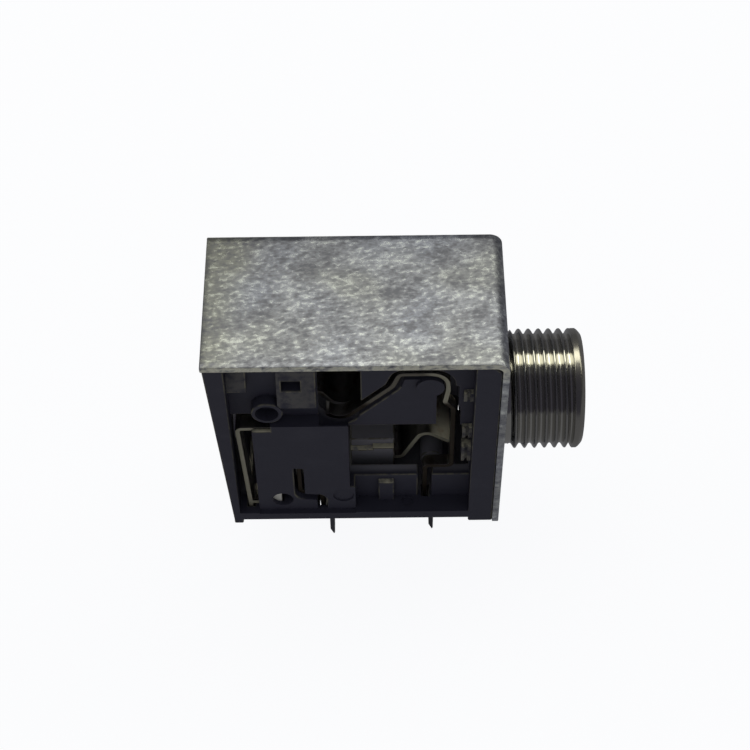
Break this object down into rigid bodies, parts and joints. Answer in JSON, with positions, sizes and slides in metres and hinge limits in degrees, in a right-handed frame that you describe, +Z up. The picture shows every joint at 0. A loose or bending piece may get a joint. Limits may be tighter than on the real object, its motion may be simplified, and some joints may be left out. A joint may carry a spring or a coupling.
{
  "type": "stereo jack socket",
  "caption": "Right-angle board-mounted socket for a 6.35 mm stereo plug, with a folded metal shield, a threaded panel bush and spring contacts in an open-sided black moulding.",
  "frame": {"origin": "on the plug axis, at the front plate's panel face", "axes": "+X is the way the plug leaves, +Z is up from the board, and the moulding's open side faces -Y"},
  "size_m": [0.0275, 0.012, 0.0235],
  "materials": {
    "shield": "dull tinned sheet with a fine grain",
    "bush": "bright nickel plate",
    "moulding": "satin black",
    "contacts": "tinned strip"
  },
  "bodies": {
    "root": {"shield_bracket": "shield", "threaded_bush": "bush", "housing": "moulding", "tip_spring": "contacts", "ring_spring": "contacts", "sleeve_spring": "contacts", "tip_break_contact": "contacts", "ring_break_contact": "contacts"}
  },
  "joints": []
}
